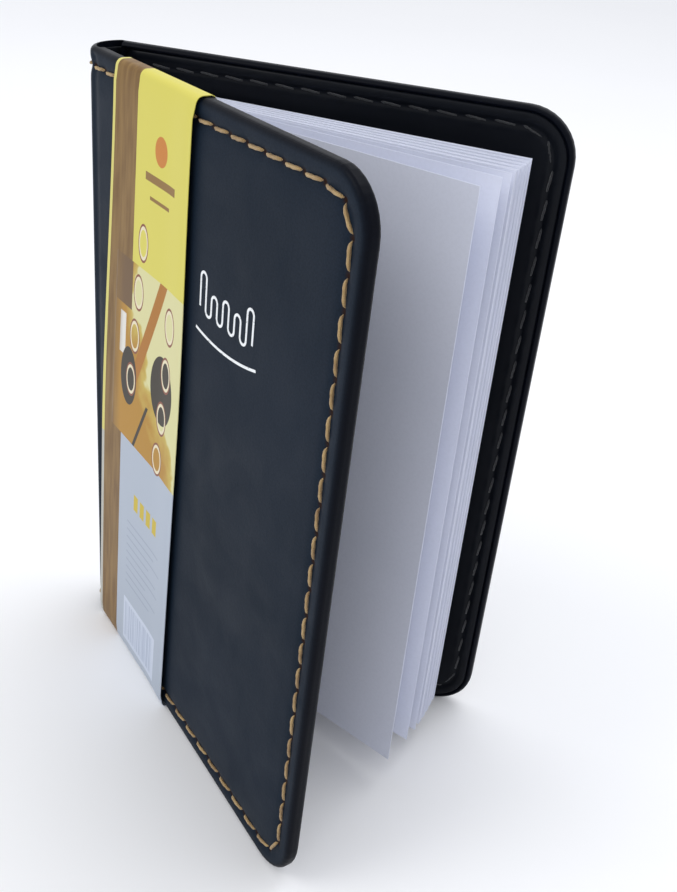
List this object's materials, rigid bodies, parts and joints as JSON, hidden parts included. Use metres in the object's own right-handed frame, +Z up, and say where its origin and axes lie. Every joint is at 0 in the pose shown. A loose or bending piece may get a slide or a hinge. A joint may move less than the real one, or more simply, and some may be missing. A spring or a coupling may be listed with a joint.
{
  "type": "pocket notebook",
  "caption": "Pocket notebook with padded, edge-stitched soft covers, a rounded spine, a fanned page block and a loose printed paper band round the front cover, standing part-open.",
  "frame": {"origin": "centre of the rest pose's footprint, on the surface the notebook stands on", "axes": "+Z up along the spine, +Y out of the rear cover's outer face, +X from the spine towards the rear cover's fore-edge; the front cover opens towards -Y"},
  "size_m": [0.08, 0.0538, 0.1152],
  "materials": {
    "cover_skin": "satin, fine grain",
    "padding": "soft non-woven wadding",
    "board": "matt",
    "lining": "smooth, slight sheen",
    "edge_thread": "twisted thread",
    "lining_thread": "twisted thread",
    "hinge_cloth": "open weave",
    "binding_glue": "satin",
    "foil": "hot-stamped foil",
    "band_paper": "printed, light varnish",
    "page_paper": "uncoated, smooth"
  },
  "bodies": {
    "rear_cover": {"rear_outer_skin": "cover_skin", "rear_foam_pad": "padding", "rear_board": "board", "rear_inner_liner": "lining", "rear_edge_thread": "edge_thread", "rear_lining_thread": "lining_thread", "hinge_cloth": "hinge_cloth", "binding_glue": "binding_glue"},
    "spine": {"spine_outer_skin": "cover_skin", "spine_stiffener": "board", "spine_inner_liner": "lining", "spine_top_thread": "edge_thread", "spine_bottom_thread": "edge_thread"},
    "front_cover": {"front_outer_skin": "cover_skin", "front_foam_pad": "padding", "front_board": "board", "front_inner_liner": "lining", "front_edge_thread": "edge_thread", "front_lining_thread": "lining_thread", "front_foil_mark": "foil"},
    "band": {"band_outer_panel": "band_paper", "band_inner_panel": "band_paper", "band_top_fold": "band_paper", "band_bottom_fold": "band_paper"},
    "leaf_1_turn": {"leaf_1": "page_paper"},
    "leaf_2_turn": {"leaf_2": "page_paper"},
    "leaf_3_turn": {"leaf_3": "page_paper"},
    "section_1_turn": {"section_1": "page_paper"},
    "section_2_turn": {"section_2": "page_paper"},
    "section_3_turn": {"section_3": "page_paper"},
    "section_4_turn": {"section_4": "page_paper"},
    "section_5_turn": {"section_5": "page_paper"}
  },
  "joints": [
    {"name": "rear_crease", "type": "hinge", "parent": "rear_cover", "child": "spine", "pos_m": [-0.03798, 0.02654, 0.0575], "axis": [0, 0, -1], "range_deg": [0, 90]},
    {"name": "front_crease", "type": "hinge", "parent": "spine", "child": "front_cover", "pos_m": [-0.03798, 0.01764, 0.0575], "axis": [0, 0, -1], "range_deg": [-35, 55]},
    {"name": "band_slide", "type": "slide", "parent": "front_cover", "child": "band", "axis": [0.8192, -0.5736, 0], "range_m": [0, 0.079]},
    {"name": "leaf_1_hinge", "type": "hinge", "parent": "rear_cover", "child": "leaf_1_turn", "pos_m": [-0.03558, 0.02043, 0.0575], "axis": [0, 0, -1], "range_deg": [-17.22, 27.05]},
    {"name": "leaf_2_hinge", "type": "hinge", "parent": "rear_cover", "child": "leaf_2_turn", "pos_m": [-0.03558, 0.02063, 0.0575], "axis": [0, 0, -1], "range_deg": [-12.32, 19.35]},
    {"name": "leaf_3_hinge", "type": "hinge", "parent": "rear_cover", "child": "leaf_3_turn", "pos_m": [-0.03558, 0.02083, 0.0575], "axis": [0, 0, -1], "range_deg": [-10.02, 15.73]},
    {"name": "section_1_hinge", "type": "hinge", "parent": "rear_cover", "child": "section_1_turn", "pos_m": [-0.03558, 0.02127, 0.0575], "axis": [0, 0, -1], "range_deg": [-8.62, 13.53]},
    {"name": "section_2_hinge", "type": "hinge", "parent": "rear_cover", "child": "section_2_turn", "pos_m": [-0.03558, 0.02195, 0.0575], "axis": [0, 0, -1], "range_deg": [-7.72, 12.12]},
    {"name": "section_3_hinge", "type": "hinge", "parent": "rear_cover", "child": "section_3_turn", "pos_m": [-0.03558, 0.02263, 0.0575], "axis": [0, 0, -1], "range_deg": [-6.82, 10.71]},
    {"name": "section_4_hinge", "type": "hinge", "parent": "rear_cover", "child": "section_4_turn", "pos_m": [-0.03558, 0.02331, 0.0575], "axis": [0, 0, -1], "range_deg": [-5.92, 9.29]},
    {"name": "section_5_hinge", "type": "hinge", "parent": "rear_cover", "child": "section_5_turn", "pos_m": [-0.03558, 0.02399, 0.0575], "axis": [0, 0, -1], "range_deg": [-5.02, 7.88]}
  ],
  "couplings": [
    {"joint": "leaf_1_hinge", "follows": "front_crease", "ratio": 0.49143},
    {"joint": "leaf_2_hinge", "follows": "front_crease", "ratio": 0.35143},
    {"joint": "leaf_3_hinge", "follows": "front_crease", "ratio": 0.28571},
    {"joint": "section_1_hinge", "follows": "front_crease", "ratio": 0.24571},
    {"joint": "section_2_hinge", "follows": "front_crease", "ratio": 0.22},
    {"joint": "section_3_hinge", "follows": "front_crease", "ratio": 0.19429},
    {"joint": "section_4_hinge", "follows": "front_crease", "ratio": 0.16857},
    {"joint": "section_5_hinge", "follows": "front_crease", "ratio": 0.14286}
  ]
}
